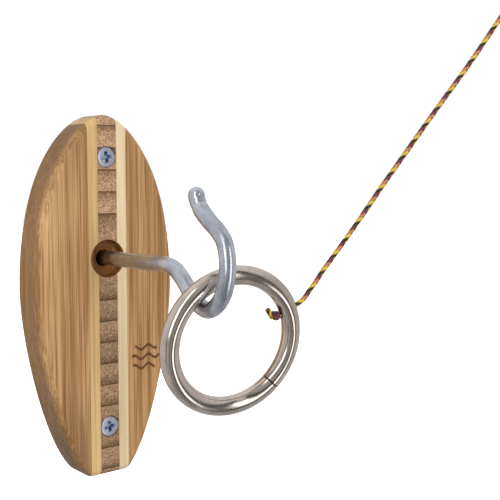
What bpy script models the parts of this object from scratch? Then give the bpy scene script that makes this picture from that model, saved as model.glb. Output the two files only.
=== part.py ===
"""Hook and ring swing game.

A bamboo wall board, laminated like a small surfboard, carries a bent steel hook. A steel ring on a
braided cord hangs on the hook, and the cord rises to a screw eye in the ceiling.

Frame: the wall is the plane y = 0 and the origin lies on the board's back, behind the hook.
+Z is up and the hook reaches out along -Y. Lengths are in metres.
"""

import math

import bmesh
import bpy
from mathutils import Matrix, Vector

MM = 0.001
GAP = 0.3 * MM  # between pieces that touch or cross

# Board outline, measured from the hook's axis
BOARD_TOP = 52.0 * MM
BOARD_TAIL = 80.3 * MM
BOARD_THICKNESS = 14.0 * MM
BOARD_HALF_WIDTH = 28.3 * MM
WIDEST_BELOW_HOOK = 10.7 * MM
TIP_FULLNESS = 7.0 * MM  # how far the outline runs level at the tip
SHOULDER_FULLNESS = 48.0 * MM  # how far it runs straight above the widest place
HIP_FULLNESS = 18.3 * MM  # how far it runs straight below the widest place
TAIL_HALF_WIDTH = 9.4 * MM  # where the side meets the tail corner
TAIL_SLOPE_DEG = 48.5  # the side's slope there
TAIL_FULLNESS = 16.0 * MM  # how far the side runs straight above it
EDGE_ROUND = 2.5 * MM  # round-over of the front edge
TAIL_CORNER_RADIUS = 1.5 * EDGE_ROUND  # so that the round-over can turn the corner

# Laminations
BLOCK_WIDTH = 7.7 * MM
LIGHT_STRIP_WIDTH = 4.0 * MM
HOOK_BLOCK_HEIGHT = 8.0 * MM
UPPER_LONG_BLOCK = 12.5 * MM  # the block just above the hook's own
LOWER_LONG_BLOCK = 11.3 * MM  # the block just below it
TIP_BLOCK = 3.7 * MM
TAIL_BLOCK = 2.3 * MM
UPPER_BLOCKS = 4  # equal blocks between the long one and the tip block
LOWER_BLOCKS = 8

# Hook
HOOK_WIRE = 5.4 * MM
HOOK_SEATED = 10.7 * MM  # length of shank inside the board
COUNTERBORE_RADIUS = 6.8 * MM
COUNTERBORE_DEPTH = 3.6 * MM
SEAT_REACH = 58.2 * MM  # from the board's face to where the ring hangs

# Screws
SCREW_HEAD_RADIUS = 3.8 * MM
SCREW_HEAD_DEPTH = 2.6 * MM
SCREW_RADIUS = 1.9 * MM
SCREW_LENGTH = 30.0 * MM
SCREW_POINT = 4.0 * MM
UPPER_SCREW_INSET = 15.2 * MM  # from the board's tip
LOWER_SCREW_JOINT = 3  # the lower screw is centred on this joint, counted from the tail
RECESS_LENGTH = 4.4 * MM
RECESS_WIDTH = 1.1 * MM
RECESS_DEPTH = 1.9 * MM

# Ring
RING_OUTER_RADIUS = 25.4 * MM
RING_WIRE = 6.35 * MM
RING_TURN_DEG = -9.6  # about the vertical, away from facing the room squarely
RING_LEAN_DEG = -9.5
RING_SEAT_DEG = 133.0  # place round the ring that rests on the hook
CORD_HOLE_DEG = 24.5
SEAM_DEG = -45.0
SEAM_GAP = 0.3 * MM

# Cord and its ends
CORD_DIAMETER = 1.8 * MM
STOPPER_RADIUS = 2.0 * MM
STOPPER_DEPTH = 3.2 * MM  # along the cord
STOPPER_RISE = 0.8 * MM  # the knot's middle above the cord's
STOPPER_TAIL = 3.0 * MM  # the cut end that stands out of the knot
TOP_KNOT_RADIUS = 2.4 * MM
LOOP_HALF_LENGTH = 5.0 * MM
LOOP_HALF_WIDTH = 4.3 * MM
EYE_WIRE = 2.6 * MM
EYE_RADIUS = 6.5 * MM  # to the middle of the wire
EYE_SHANK = 20.0 * MM
EYE_POINT = 4.0 * MM

# Middle of the hook's rod: reach from the board's face, height
HOOK_ROUTE = [
    (-HOOK_SEATED, 0.0),
    (0.0, 0.2 * MM),
    (18.0 * MM, 0.4 * MM),
    (30.0 * MM, 0.6 * MM),
    (37.0 * MM, 0.7 * MM),
    (42.5 * MM, -0.3 * MM),
    (46.8 * MM, -3.1 * MM),
    (50.4 * MM, -6.5 * MM),
    (55.0 * MM, -10.3 * MM),
    (60.4 * MM, -12.0 * MM),
    (65.0 * MM, -10.2 * MM),
    (68.5 * MM, -6.4 * MM),
    (70.3 * MM, -1.6 * MM),
    (70.8 * MM, 2.7 * MM),
    (70.3 * MM, 7.0 * MM),
    (68.7 * MM, 10.6 * MM),
    (65.5 * MM, 13.5 * MM),
    (61.6 * MM, 16.0 * MM),
    (57.7 * MM, 19.1 * MM),
    (55.3 * MM, 22.4 * MM),
    (54.4 * MM, 26.0 * MM),
]

# Middle of the cord, from just outside the ring's hole to the knot at the eye
CORD_ROUTE = [
    (0.0361, -0.0792, -0.0116),
    (0.0375, -0.0796, -0.0101),
    (0.0385, -0.0798, -0.0083),
    (0.0405, -0.0805, -0.0061),
    (0.0430, -0.0813, -0.0022),
    (0.0463, -0.0826, 0.0022),
    (0.0496, -0.0839, 0.0067),
    (0.0562, -0.0869, 0.0164),
    (0.0626, -0.0901, 0.0265),
    (0.0693, -0.0935, 0.0367),
    (0.0760, -0.0969, 0.0469),
    (0.0829, -0.1004, 0.0572),
    (0.0899, -0.1040, 0.0676),
    (0.0968, -0.1075, 0.0785),
    (0.1031, -0.1105, 0.0884),
]
TOP_KNOT = Vector((0.1043, -0.1111, 0.0905))

BAMBOO = (0.56, 0.33, 0.13)
DARK_BAMBOO = (0.43, 0.25, 0.11)
PALE_BAMBOO = (0.78, 0.62, 0.36)
ZINC = (0.48, 0.51, 0.56)
NICKEL = (0.50, 0.46, 0.42)
CORD_YELLOW = (0.75, 0.45, 0.03)


def clear_scene():
    for obj in list(bpy.data.objects):
        bpy.data.objects.remove(obj, do_unlink=True)


def new_collection(name):
    collection = bpy.data.collections.new(name)
    bpy.context.scene.collection.children.link(collection)
    return collection


def make_material(name, colour, roughness, metallic):
    material = bpy.data.materials.new(name)
    material.use_nodes = True
    shader = material.node_tree.nodes["Principled BSDF"]
    shader.inputs["Base Color"].default_value = (*colour, 1.0)
    shader.inputs["Roughness"].default_value = roughness
    shader.inputs["Metallic"].default_value = metallic
    return material


def wood(name, colour):
    return make_material(name, colour, 0.55, 0.0)


def steel(name, colour):
    return make_material(name, colour, 0.3, 1.0)


def add_part(name, mesh, material):
    """A piece of the game, as an object in the parts' collection."""
    obj = bpy.data.objects.new(name, mesh)
    parts.objects.link(obj)
    mesh.materials.clear()
    mesh.materials.append(material)
    return obj


def add_cutter(name, mesh):
    obj = bpy.data.objects.new(name, mesh)
    cutters.objects.link(obj)
    obj.hide_render = True
    obj.display_type = "WIRE"
    return obj


def mesh_of(obj):
    """The evaluated mesh of an object in world space, with its loose caps joined on."""
    bpy.context.view_layer.update()
    evaluated = obj.evaluated_get(bpy.context.evaluated_depsgraph_get())
    mesh = bpy.data.meshes.new_from_object(evaluated)
    mesh.transform(obj.matrix_world)
    shape = bmesh.new()
    shape.from_mesh(mesh)
    bmesh.ops.remove_doubles(shape, verts=shape.verts, dist=0.001 * MM)
    bmesh.ops.recalc_face_normals(shape, faces=shape.faces)
    shape.to_mesh(mesh)
    shape.free()
    bpy.data.objects.remove(obj, do_unlink=True)
    return mesh


def box_mesh(name, low, high):
    shape = bmesh.new()
    bmesh.ops.create_cube(shape, size=1.0)
    size = [h - l for l, h in zip(low, high)]
    middle = [(l + h) / 2 for l, h in zip(low, high)]
    bmesh.ops.scale(shape, vec=size, verts=shape.verts)
    bmesh.ops.translate(shape, vec=middle, verts=shape.verts)
    mesh = bpy.data.meshes.new(name)
    shape.to_mesh(mesh)
    shape.free()
    return mesh


def turned_object(name, profile, steps):
    """A profile of (radius, height) points, turned about Z and then laid with its top to -Y."""
    mesh = bpy.data.meshes.new(name)
    points = [(radius, 0.0, height) for radius, height in profile]
    mesh.from_pydata(points, [(i, i + 1) for i in range(len(points) - 1)], [])
    obj = bpy.data.objects.new(name, mesh)
    bpy.context.scene.collection.objects.link(obj)
    turn = obj.modifiers.new("turn", "SCREW")
    turn.steps = steps
    turn.render_steps = steps
    turn.use_merge_vertices = True
    turn.merge_threshold = 0.01 * MM
    obj.matrix_world = Matrix.Rotation(math.pi / 2, 4, "X")
    return obj


def cut(obj, cutter, operation="DIFFERENCE"):
    boolean = obj.modifiers.new(cutter.name, "BOOLEAN")
    boolean.operation = operation
    boolean.object = cutter


def smooth_route(points, spacing):
    """Evenly spaced points on a smooth curve through the route's own points."""
    points = [Vector(p) for p in points]
    ends = [2 * points[0] - points[1]] + points + [2 * points[-1] - points[-2]]
    fine = []
    for p0, p1, p2, p3 in zip(ends, ends[1:], ends[2:], ends[3:]):
        for step in range(20):
            t = step / 20
            fine.append(
                0.5
                * (
                    2 * p1
                    + (p2 - p0) * t
                    + (2 * p0 - 5 * p1 + 4 * p2 - p3) * t**2
                    + (3 * p1 - p0 - 3 * p2 + p3) * t**3
                )
            )
    fine.append(points[-1])
    length = sum((b - a).length for a, b in zip(fine, fine[1:]))
    count = max(2, round(length / spacing))
    route, travelled, wanted = [fine[0]], 0.0, length / count
    for a, b in zip(fine, fine[1:]):
        step = (b - a).length
        while travelled + step >= wanted and len(route) < count:
            route.append(a.lerp(b, (wanted - travelled) / step))
            wanted += length / count
        travelled += step
    route.append(fine[-1])
    return route


def tube_mesh(name, points, radius, roundness, scales=None, closed=False):
    """A round rod or cord along the points; scales narrows it, point by point."""
    curve = bpy.data.curves.new(name, "CURVE")
    curve.dimensions = "3D"
    curve.bevel_depth = radius
    curve.bevel_resolution = roundness
    curve.use_fill_caps = not closed
    spline = curve.splines.new("POLY")
    spline.points.add(len(points) - 1)
    spline.use_cyclic_u = closed
    for i, point in enumerate(points):
        spline.points[i].co = (*point, 1.0)
        spline.points[i].radius = scales[i] if scales else 1.0
    obj = bpy.data.objects.new(name, curve)
    bpy.context.scene.collection.objects.link(obj)
    return mesh_of(obj)


def rounded_end(points, radius):
    """Points and radius scales that close a rod's last end with a dome."""
    direction = (points[-1] - points[-2]).normalized()
    kept = [p for p in points if (points[-1] - p).dot(direction) >= radius or p is points[0]]
    base = points[-1] - direction * radius
    scales = [1.0] * len(kept)
    for angle in (0.0, 25.0, 45.0, 62.0, 76.0, 86.0):
        turn = math.radians(angle)
        kept.append(base + direction * radius * math.sin(turn))
        scales.append(math.cos(turn))
    return kept, scales


def pointed_end(points, length):
    """Radius scales that bring a rod's last stretch to a blunt point."""
    last = points[-1]
    return [max(0.12, min(1.0, (last - p).length / length)) for p in points]


def smooth(mesh):
    mesh.shade_smooth()
    mesh.set_sharp_from_angle(angle=math.radians(40))


def ball_mesh(name, centre, radius):
    shape = bmesh.new()
    bmesh.ops.create_icosphere(shape, subdivisions=2, radius=radius)
    bmesh.ops.translate(shape, vec=centre, verts=shape.verts)
    mesh = bpy.data.meshes.new(name)
    shape.to_mesh(mesh)
    shape.free()
    return mesh


def board_blank():
    """The whole board before it is divided: its outline in depth, with the front edge rounded over."""
    slope = math.radians(TAIL_SLOPE_DEG)
    side = Vector((math.cos(slope), math.sin(slope), 0))
    corner_drop = TAIL_CORNER_RADIUS * (1 - math.cos(slope))
    corner_run = TAIL_CORNER_RADIUS * math.sin(slope)
    corner_handle = TAIL_CORNER_RADIUS * 4 / 3 * math.tan(slope / 4)
    tip = Vector((0, BOARD_TOP, 0))
    wide = Vector((BOARD_HALF_WIDTH, -WIDEST_BELOW_HOOK, 0))
    hip = Vector((TAIL_HALF_WIDTH, -BOARD_TAIL + corner_drop, 0))
    tail = Vector((TAIL_HALF_WIDTH - corner_run, -BOARD_TAIL, 0))
    half = [  # place, handle before, handle after
        (wide, Vector((0, SHOULDER_FULLNESS, 0)), Vector((0, -HIP_FULLNESS, 0))),
        (hip, side * TAIL_FULLNESS, -side * corner_handle),
        (tail, Vector((corner_handle, 0, 0)), Vector((-tail.x / 3, 0, 0))),
    ]
    points = [(tip, Vector((-TIP_FULLNESS, 0, 0)), Vector((TIP_FULLNESS, 0, 0)))] + half
    mirror = Matrix.Scale(-1, 3, Vector((1, 0, 0)))
    points += [(mirror @ p, mirror @ after, mirror @ before) for p, before, after in reversed(half)]
    curve = bpy.data.curves.new("board_outline", "CURVE")
    curve.dimensions = "2D"
    curve.fill_mode = "BOTH"
    curve.extrude = BOARD_THICKNESS / 2
    curve.resolution_u = 12
    spline = curve.splines.new("BEZIER")
    spline.bezier_points.add(len(points) - 1)
    spline.use_cyclic_u = True
    for knot, (place, before, after) in zip(spline.bezier_points, points):
        knot.handle_left_type = knot.handle_right_type = "FREE"
        knot.co = place
        knot.handle_left = place + before
        knot.handle_right = place + after
    obj = bpy.data.objects.new("board_outline", curve)
    bpy.context.scene.collection.objects.link(obj)
    upright = Matrix.Rotation(math.pi / 2, 4, "X")
    obj.matrix_world = Matrix.Translation((0, -BOARD_THICKNESS / 2, 0)) @ upright
    mesh = mesh_of(obj)
    shape = bmesh.new()
    shape.from_mesh(mesh)
    bmesh.ops.dissolve_limit(
        shape, angle_limit=math.radians(0.5), verts=shape.verts, edges=shape.edges
    )
    bmesh.ops.recalc_face_normals(shape, faces=shape.faces)
    front = min(shape.faces, key=lambda face: face.normal.y)
    bmesh.ops.bevel(
        shape,
        geom=list(front.edges),
        offset=EDGE_ROUND,
        offset_type="OFFSET",
        segments=4,
        profile=0.5,
        affect="EDGES",
        clamp_overlap=True,
    )
    bmesh.ops.recalc_face_normals(shape, faces=shape.faces)
    shape.to_mesh(mesh)
    shape.free()
    return mesh


def make_board(hook_points):
    blank = board_blank()
    back, front = 5 * MM, -BOARD_THICKNESS - 5 * MM
    far = BOARD_HALF_WIDTH + 5 * MM
    counterbore = add_cutter(
        "counterbore_cut",
        mesh_of(
            turned_object(
                "counterbore_cut",
                [
                    (0, BOARD_THICKNESS + 5 * MM),
                    (COUNTERBORE_RADIUS, BOARD_THICKNESS + 5 * MM),
                    (COUNTERBORE_RADIUS, BOARD_THICKNESS - COUNTERBORE_DEPTH),
                    (0, BOARD_THICKNESS - COUNTERBORE_DEPTH),
                ],
                48,
            )
        ),
    )
    bore_start = hook_points[0] - (hook_points[1] - hook_points[0]).normalized() * GAP
    bore_route = [bore_start] + hook_points[:12]
    bore = add_cutter("hook_bore_cut", tube_mesh("hook_bore", bore_route, HOOK_WIRE / 2 + GAP, 4))
    screw_cuts = {name: add_cutter(name + "_cut", screw_mesh(name + "_cut", height, GAP))
                  for name, height in screw_heights().items()}

    def lamination(name, low, high, cuts, colour):
        obj = add_part(name, blank.copy(), wood(name, colour))
        slab = add_cutter(
            name + "_slab", box_mesh(name + "_slab", (low[0], front, low[1]), (high[0], back, high[1]))
        )
        for cutter in cuts:
            cut(obj, cutter)
        cut(obj, slab, "INTERSECT")
        return obj

    inner = BLOCK_WIDTH / 2
    outer = inner + LIGHT_STRIP_WIDTH
    low, high = -BOARD_TAIL - 5 * MM, BOARD_TOP + 5 * MM
    hook_cuts = [counterbore]
    for side, name in ((-1, "left"), (1, "right")):
        strip = sorted((side * (inner + GAP / 2), side * (outer - GAP / 2)))
        panel = sorted((side * (outer + GAP / 2), side * far))
        lamination(name + "_light_strip", (strip[0], low), (strip[1], high), hook_cuts, PALE_BAMBOO)
        lamination(name + "_panel", (panel[0], low), (panel[1], high), [], BAMBOO)

    joints = block_joints()
    for number, (top, bottom) in enumerate(zip(joints, joints[1:]), start=1):
        upper = top - GAP / 2
        lower = bottom + GAP / 2
        cuts = []
        if lower < COUNTERBORE_RADIUS and upper > -COUNTERBORE_RADIUS:
            cuts.append(counterbore)
        if lower < 0 < upper:
            cuts.append(bore)
        for screw, height in screw_heights().items():
            if lower < height + SCREW_HEAD_RADIUS + GAP and upper > height - SCREW_HEAD_RADIUS - GAP:
                cuts.append(screw_cuts[screw])
        lamination(
            f"end_grain_block_{number:02d}",
            (-inner + GAP / 2, lower),
            (inner - GAP / 2, upper),
            cuts,
            DARK_BAMBOO,
        )


def block_joints():
    """Heights of the joints between the stacked blocks, from beyond the tip to beyond the tail."""
    upper_start = HOOK_BLOCK_HEIGHT / 2 + UPPER_LONG_BLOCK
    lower_start = HOOK_BLOCK_HEIGHT / 2 + LOWER_LONG_BLOCK
    upper_end = BOARD_TOP - TIP_BLOCK
    lower_end = BOARD_TAIL - TAIL_BLOCK
    upper_pitch = (upper_end - upper_start) / UPPER_BLOCKS
    lower_pitch = (lower_end - lower_start) / LOWER_BLOCKS
    joints = [BOARD_TOP + 5 * MM]
    joints += [upper_end - i * upper_pitch for i in range(UPPER_BLOCKS + 1)]
    joints += [HOOK_BLOCK_HEIGHT / 2, -HOOK_BLOCK_HEIGHT / 2]
    joints += [-lower_start - i * lower_pitch for i in range(LOWER_BLOCKS + 1)]
    return joints + [-BOARD_TAIL - 5 * MM]


def screw_heights():
    return {
        "upper_screw": BOARD_TOP - UPPER_SCREW_INSET,
        "lower_screw": block_joints()[-1 - LOWER_SCREW_JOINT],
    }


def screw_mesh(name, height, clearance):
    """A countersunk screw with its head flush in the board's face, or the cutter that makes its hole."""
    over = 5 * MM if clearance else 0.0
    tip = BOARD_THICKNESS - SCREW_LENGTH
    head = SCREW_HEAD_RADIUS + clearance
    shank = SCREW_RADIUS + clearance
    profile = [
        (0, BOARD_THICKNESS + over),
        (head, BOARD_THICKNESS + over),
        (head, BOARD_THICKNESS - 0.4 * MM - clearance),
        (shank, BOARD_THICKNESS - SCREW_HEAD_DEPTH - clearance),
        (shank, tip + SCREW_POINT - clearance),
        (0, tip - clearance),
    ]
    obj = turned_object(name, profile, 32)
    obj.matrix_world = Matrix.Translation((0, 0, height)) @ obj.matrix_world
    return mesh_of(obj)


def make_screws():
    for name, height in screw_heights().items():
        mesh = screw_mesh(name, height, 0.0)
        smooth(mesh)
        obj = add_part(name, mesh, steel(name, ZINC))
        half_long, half_wide = RECESS_LENGTH / 2, RECESS_WIDTH / 2
        for arm, (x, z) in {"level": (half_long, half_wide), "upright": (half_wide, half_long)}.items():
            low = (-x, -BOARD_THICKNESS - 1 * MM, height - z)
            high = (x, -BOARD_THICKNESS + RECESS_DEPTH, height + z)
            cutter_name = f"{name}_recess_{arm}"
            cut(obj, add_cutter(cutter_name, box_mesh(cutter_name, low, high)))


def hook_centreline():
    return smooth_route([(0, -BOARD_THICKNESS - reach, z) for reach, z in HOOK_ROUTE], 2.0 * MM)


def make_hook(points):
    kept, scales = rounded_end(points, HOOK_WIRE / 2)
    mesh = tube_mesh("hook", kept, HOOK_WIRE / 2, 4, scales)
    smooth(mesh)
    add_part("hook", mesh, steel("hook", ZINC))


def ring_frame(hook_points):
    """The ring's centre, its two in-plane directions and the point where it bears on the hook."""
    turn, lean = math.radians(RING_TURN_DEG), math.radians(RING_LEAN_DEG)
    normal = Vector(
        (math.sin(turn) * math.cos(lean), -math.cos(turn) * math.cos(lean), math.sin(lean))
    )
    across = Vector((0, 0, 1)).cross(normal).normalized()
    up = normal.cross(across)
    seat_angle = math.radians(RING_SEAT_DEG)
    radial = across * math.cos(seat_angle) + up * math.sin(seat_angle)
    wire_direction = up * math.cos(seat_angle) - across * math.sin(seat_angle)
    seat_y = -BOARD_THICKNESS - SEAT_REACH
    spans = zip(hook_points, hook_points[1:])
    before, after = next((a, b) for a, b in spans if a.y >= seat_y > b.y)
    seat = before.lerp(after, (before.y - seat_y) / (before.y - after.y))
    rod_direction = (after - before).normalized()
    away = rod_direction.cross(wire_direction).normalized()
    if away.z < 0:
        away = -away
    apart = HOOK_WIRE / 2 + GAP + RING_WIRE / 2
    ring_middle = RING_OUTER_RADIUS - RING_WIRE / 2
    centre = seat + away * apart - radial * ring_middle
    bearing = seat + away * (HOOK_WIRE / 2 + GAP / 2)
    return centre, across, up, bearing


def make_ring(centre, across, up):
    """A bar bent round until its ends meet at the seam, with a hole across it for the cord."""
    middle = RING_OUTER_RADIUS - RING_WIRE / 2
    seam = SEAM_GAP / middle
    start = math.radians(SEAM_DEG) + seam / 2
    count = 72
    points = []
    for i in range(count + 1):
        angle = start + (2 * math.pi - seam) * i / count
        points.append(centre + (across * math.cos(angle) + up * math.sin(angle)) * middle)
    mesh = tube_mesh("ring", points, RING_WIRE / 2, 4)
    smooth(mesh)
    ring = add_part("ring", mesh, steel("ring", NICKEL))
    hole = math.radians(CORD_HOLE_DEG)
    outward = across * math.cos(hole) + up * math.sin(hole)
    drill = [centre + outward * (middle + side * RING_WIRE) for side in (-1, 1)]
    cutter = add_cutter("cord_hole_cut", tube_mesh("cord_hole", drill, CORD_DIAMETER / 2 + GAP, 4))
    cut(ring, cutter)
    return outward


def make_cord_and_knots(centre, outward, up):
    inner_mouth = RING_OUTER_RADIUS - RING_WIRE
    start = inner_mouth - GAP
    reaches = [start + i * (RING_WIRE + 4 * GAP) / 4 for i in range(5)]
    route = [centre + outward * reach for reach in reaches] + [Vector(p) for p in CORD_ROUTE]
    cord = tube_mesh("cord", smooth_route(route, 1.8 * MM), CORD_DIAMETER / 2, 2)
    smooth(cord)
    add_part("cord", cord, wood("cord", CORD_YELLOW))
    knot_place = centre + outward * (start - STOPPER_DEPTH / 2 - GAP) + up * STOPPER_RISE
    flatten = Matrix.Scale(STOPPER_DEPTH / 2 / STOPPER_RADIUS, 3, outward)
    stopper = ball_mesh("stopper_knot", (0, 0, 0), STOPPER_RADIUS)
    stopper.transform(Matrix.Translation(knot_place) @ flatten.to_4x4())
    smooth(stopper)
    obj = add_part("stopper_knot", stopper, wood("stopper_knot", CORD_YELLOW))
    tail_direction = (up - outward * 0.6).normalized()
    tail_route = [knot_place + tail_direction * STOPPER_TAIL * i / 3 for i in range(4)]
    tail = tube_mesh("cut_end", tail_route, CORD_DIAMETER / 2, 2)
    cut(obj, add_cutter("cut_end_form", tail), "UNION")


def loop_axes():
    """The direction of the cord where it meets the eye, and the loop's crosswise direction."""
    along = (TOP_KNOT - Vector(CORD_ROUTE[-3])).normalized()
    side = along.cross(Vector((0, 1, 0))).normalized()
    return along, side


def make_top_loop():
    """The cord's end, tied in a loop round the eye's wire."""
    along, side = loop_axes()
    middle = TOP_KNOT + along * (TOP_KNOT_RADIUS * 0.6 + LOOP_HALF_LENGTH)
    points = []
    for i in range(24):
        angle = 2 * math.pi * i / 24
        points.append(
            middle
            + along * LOOP_HALF_LENGTH * math.cos(angle)
            + side * LOOP_HALF_WIDTH * math.sin(angle)
        )
    loop = tube_mesh("top_loop", points, CORD_DIAMETER / 2, 2, closed=True)
    smooth(loop)
    obj = add_part("top_loop", loop, wood("top_loop", CORD_YELLOW))
    knot = add_cutter("top_knot_form", ball_mesh("top_knot_form", TOP_KNOT, TOP_KNOT_RADIUS))
    cut(obj, knot, "UNION")
    loop_end = middle + along * LOOP_HALF_LENGTH
    return loop_end - along * (CORD_DIAMETER / 2 + GAP + EYE_WIRE / 2)


def make_ceiling_eye(low_wire):
    """A screw eye: its shank comes down from the ceiling and bends once round."""
    middle = low_wire + Vector((0, 0, EYE_RADIUS))
    points = []
    for degrees in range(122, 122 + 300, 12):
        angle = math.radians(degrees)
        points.append(middle + Vector((0, math.cos(angle), math.sin(angle))) * EYE_RADIUS)
    neck = middle + Vector((0, 0, EYE_RADIUS + EYE_WIRE * 1.2))
    bend = middle + Vector((0, EYE_RADIUS * 0.16, EYE_RADIUS * 1.18))
    straight = [neck + Vector((0, 0, EYE_SHANK * i / 6)) for i in range(7)]
    route = smooth_route(points + [bend] + straight, 1.6 * MM)
    mesh = tube_mesh("ceiling_eye", route, EYE_WIRE / 2, 3, pointed_end(route, EYE_POINT))
    smooth(mesh)
    add_part("ceiling_eye", mesh, steel("ceiling_eye", ZINC))


clear_scene()
parts = new_collection("hook_and_ring_game")
cutters = new_collection("cutters")
hook_line = hook_centreline()
make_board(hook_line)
make_screws()
make_hook(hook_line)
ring_centre, ring_across, ring_up, ring_bearing = ring_frame(hook_line)
hole_direction = make_ring(ring_centre, ring_across, ring_up)
make_cord_and_knots(ring_centre, hole_direction, ring_up)
eye_wire = make_top_loop()
make_ceiling_eye(eye_wire)
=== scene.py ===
import math

import bmesh
import bpy
from mathutils import Matrix, Vector


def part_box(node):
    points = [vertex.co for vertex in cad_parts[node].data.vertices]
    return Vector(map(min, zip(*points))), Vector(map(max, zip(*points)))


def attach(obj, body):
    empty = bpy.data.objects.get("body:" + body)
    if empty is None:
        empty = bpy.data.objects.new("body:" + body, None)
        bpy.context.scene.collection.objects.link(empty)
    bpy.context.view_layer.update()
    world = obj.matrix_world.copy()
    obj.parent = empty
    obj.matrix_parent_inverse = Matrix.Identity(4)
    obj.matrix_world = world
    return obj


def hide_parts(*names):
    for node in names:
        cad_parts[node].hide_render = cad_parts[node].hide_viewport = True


mm = 0.001
boardBody = "wall_board"
swingBody = "ring_and_cord"

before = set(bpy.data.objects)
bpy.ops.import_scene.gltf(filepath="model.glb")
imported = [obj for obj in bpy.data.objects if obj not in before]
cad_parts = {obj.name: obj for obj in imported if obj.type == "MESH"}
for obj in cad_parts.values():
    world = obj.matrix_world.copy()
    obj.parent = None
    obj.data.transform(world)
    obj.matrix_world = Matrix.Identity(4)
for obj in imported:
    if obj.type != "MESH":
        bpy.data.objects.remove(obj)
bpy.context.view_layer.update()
scene = bpy.context.scene
scene.view_settings.view_transform = "Standard"
print("frame loaded:", len(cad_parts), "nodes")


# camera, just left of the board and a little above the hook
view = {
    "place": (-167.106, -299.083, 29.74), "forward": (0.63233, 0.77043, -0.08122),
    "lens": 64.8, "sensor": 36, "near": 0.01,
}


def makeCamera():
    data = bpy.data.cameras.new("camera")
    data.lens = view["lens"]
    data.sensor_width = view["sensor"]
    data.clip_start = view["near"]
    camera = bpy.data.objects.new("camera", data)
    scene.collection.objects.link(camera)
    forward = Vector(view["forward"]).normalized()
    right = forward.cross(Vector((0, 0, 1))).normalized()
    turn = Matrix((right, right.cross(forward), -forward)).transposed().to_4x4()
    camera.matrix_world = Matrix.Translation(Vector(view["place"]) * mm) @ turn
    scene.camera = camera


makeCamera()
print("camera placed")


# small helpers for meshes

def newObject(name, mesh):
    piece = bpy.data.objects.new(name, mesh)
    scene.collection.objects.link(piece)
    return piece


def meshOf(shape, name):
    mesh = bpy.data.meshes.new(name)
    shape.to_mesh(mesh)
    shape.free()
    return mesh


def dress(mesh, material, sharpFrom):
    mesh.materials.clear()
    mesh.materials.append(material)
    mesh.shade_smooth()
    mesh.set_sharp_from_angle(angle=math.radians(sharpFrom))


def evaluatedMesh(piece):
    bpy.context.view_layer.update()
    done = piece.evaluated_get(bpy.context.evaluated_depsgraph_get())
    return bpy.data.meshes.new_from_object(done)


def bakeModifiers(piece):
    mesh = evaluatedMesh(piece)
    piece.modifiers.clear()
    old = piece.data
    piece.data = mesh
    if old.users == 0:
        bpy.data.meshes.remove(old)


def booleanCut(piece, cutterMesh, operation="DIFFERENCE"):
    cutter = newObject("cutter", cutterMesh)
    step = piece.modifiers.new("cut", "BOOLEAN")
    step.operation = operation
    step.object = cutter
    bakeModifiers(piece)
    bpy.data.objects.remove(cutter, do_unlink=True)
    bpy.data.meshes.remove(cutterMesh)


def boxMesh(low, high):
    shape = bmesh.new()
    bmesh.ops.create_cube(shape, size=1)
    bmesh.ops.scale(shape, vec=[(h - l) * mm for l, h in zip(low, high)], verts=shape.verts)
    middle = [(h + l) / 2 * mm for l, h in zip(low, high)]
    bmesh.ops.translate(shape, vec=middle, verts=shape.verts)
    return meshOf(shape, "box")


def turnedMesh(profile, steps, towards=Matrix.Identity(4)):
    # profile: (radius, height) pairs in millimetres, from the top axis down to the bottom axis
    shape = bmesh.new()
    turns = [2 * math.pi * i / steps for i in range(steps)]
    hoops = []
    for radius, height in profile:
        around = turns if radius else turns[:1]
        hoops.append([
            shape.verts.new((radius * mm * math.cos(t), radius * mm * math.sin(t), height * mm))
            for t in around
        ])
    for upper, lower in zip(hoops, hoops[1:]):
        for i in range(steps):
            j = (i + 1) % steps
            corners = [upper[i % len(upper)], lower[i % len(lower)]]
            corners += [lower[j % len(lower)], upper[j % len(upper)]]
            corners = [c for n, c in enumerate(corners) if c not in corners[:n]]
            if len(corners) > 2:
                shape.faces.new(corners)
    bmesh.ops.transform(shape, matrix=towards, verts=shape.verts)
    bmesh.ops.recalc_face_normals(shape, faces=shape.faces)
    return meshOf(shape, "turned")


def routeLength(route):
    return sum((b - a).length for a, b in zip(route, route[1:]))


def evenly(fine, spacing):
    length = routeLength(fine)
    count = max(2, round(length / spacing))
    route, travelled, wanted = [fine[0]], 0.0, length / count
    for a, b in zip(fine, fine[1:]):
        step = (b - a).length
        while travelled + step >= wanted and len(route) < count:
            route.append(a.lerp(b, (wanted - travelled) / step))
            wanted += length / count
        travelled += step
    return route + [fine[-1]]


def smoothRoute(points, spacing, steps=24):
    # a smooth curve through the points, with its own points evenly spaced
    points = [Vector(p) for p in points]
    ends = [2 * points[0] - points[1]] + points + [2 * points[-1] - points[-2]]
    fine = []
    for p0, p1, p2, p3 in zip(ends, ends[1:], ends[2:], ends[3:]):
        for step in range(steps):
            t = step / steps
            even = 2 * p1 + (p2 - p0) * t + (2 * p0 - 5 * p1 + 4 * p2 - p3) * t**2
            fine.append(0.5 * (even + (3 * p1 - p0 - 3 * p2 + p3) * t**3))
    fine.append(points[-1])
    return evenly(fine, spacing)


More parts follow.
